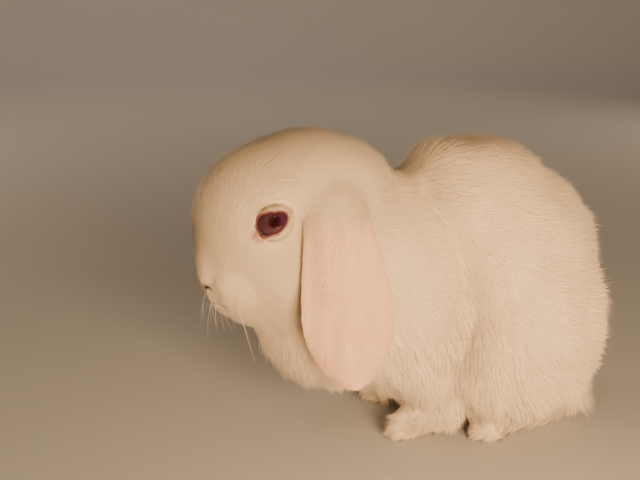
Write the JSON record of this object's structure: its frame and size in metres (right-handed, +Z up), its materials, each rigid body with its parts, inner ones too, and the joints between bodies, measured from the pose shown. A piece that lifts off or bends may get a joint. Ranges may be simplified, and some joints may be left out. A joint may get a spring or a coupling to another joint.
{
  "type": "lop-eared rabbit model",
  "caption": "Young white lop-eared rabbit with ruby eyes, sitting hunched with its chin tucked in and its ears hanging, as a still life-size model.",
  "frame": {"origin": "on the floor, at the middle of the rabbit's length and width", "axes": "+X from the nose to the tail, +Y to the rabbit's right side, +Z up"},
  "size_m": [0.1878, 0.0988, 0.1391],
  "materials": {
    "coat": "soft white fur with a faint cream tint",
    "ear": "pale pink skin under very short white fur",
    "eye": "wet ruby red"
  },
  "bodies": {
    "root": {"head": "coat", "neck": "coat", "trunk": "coat", "tail": "coat", "foreleg_left": "coat", "foreleg_right": "coat", "forepaw_left": "coat", "forepaw_right": "coat", "hindleg_left": "coat", "hindleg_right": "coat", "hindfoot_left": "coat", "hindfoot_right": "coat", "ear_left": "ear", "ear_right": "ear", "eye_left": "eye", "eye_right": "eye"}
  },
  "joints": []
}
